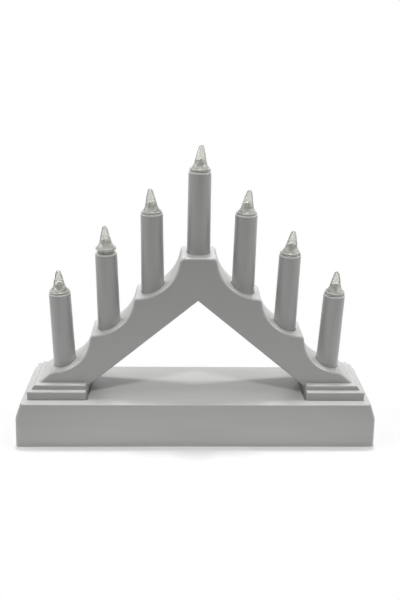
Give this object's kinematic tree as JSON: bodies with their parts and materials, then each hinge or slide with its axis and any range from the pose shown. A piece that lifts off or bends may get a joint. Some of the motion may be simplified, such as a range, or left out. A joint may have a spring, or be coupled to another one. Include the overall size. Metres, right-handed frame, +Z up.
{
  "type": "candle arch",
  "caption": "Battery-lit candle arch: tapered electric candles with clear flame caps on a stepped, scalloped arch that stands on a long hollow base.",
  "frame": {"origin": "Middle of the underside of the base, where it rests on the table.", "axes": "X runs along the base to the right as seen from the front, Y points to the back, Z is up."},
  "size_m": [0.22, 0.0466, 0.1786],
  "materials": {
    "grey_plastic": "satin",
    "clear_plastic": "gloss",
    "led_lens": "gloss",
    "cell_wrap": "gloss",
    "plated_steel": "satin",
    "board": "satin",
    "black_plastic": "satin",
    "resistor_body": "satin",
    "wire_cover": "matte"
  },
  "bodies": {
    "arch": {"base_shell": "grey_plastic", "base_bottom": "grey_plastic", "battery_1": "cell_wrap", "battery_2": "cell_wrap", "contact_bridge": "plated_steel", "contact_positive": "plated_steel", "contact_negative": "plated_steel", "switch_board": "board", "switch_body": "black_plastic", "resistor": "resistor_body", "arch_front_shell": "grey_plastic", "arch_back_cover": "grey_plastic", "wire_loom_left": "wire_cover", "wire_loom_right": "wire_cover", "battery_wires": "wire_cover", "base_screws": "plated_steel", "foot_screws": "plated_steel", "arch_screws": "plated_steel", "candle_tube_1": "grey_plastic", "flame_cap_1": "clear_plastic", "led_1": "led_lens", "led_wires_1": "wire_cover", "candle_tube_2": "grey_plastic", "flame_cap_2": "clear_plastic", "led_2": "led_lens", "led_wires_2": "wire_cover", "candle_tube_3": "grey_plastic", "flame_cap_3": "clear_plastic", "led_3": "led_lens", "led_wires_3": "wire_cover", "candle_tube_4": "grey_plastic", "flame_cap_4": "clear_plastic", "led_4": "led_lens", "led_wires_4": "wire_cover", "candle_tube_5": "grey_plastic", "flame_cap_5": "clear_plastic", "led_5": "led_lens", "led_wires_5": "wire_cover", "candle_tube_6": "grey_plastic", "flame_cap_6": "clear_plastic", "led_6": "led_lens", "led_wires_6": "wire_cover", "candle_tube_7": "grey_plastic", "flame_cap_7": "clear_plastic", "led_7": "led_lens", "led_wires_7": "wire_cover"},
    "battery_door": {"battery_door": "grey_plastic"},
    "switch_knob": {"switch_knob": "black_plastic"}
  },
  "joints": [
    {"name": "battery_door_hinge", "type": "hinge", "parent": "arch", "child": "battery_door", "pos_m": [-0.0285, 0, 0.002], "axis": [0, 1, 0], "range_deg": [0, 90]},
    {"name": "switch_slide", "type": "slide", "parent": "arch", "child": "switch_knob", "axis": [1, 0, 0], "range_m": [0, 0.004]}
  ]
}
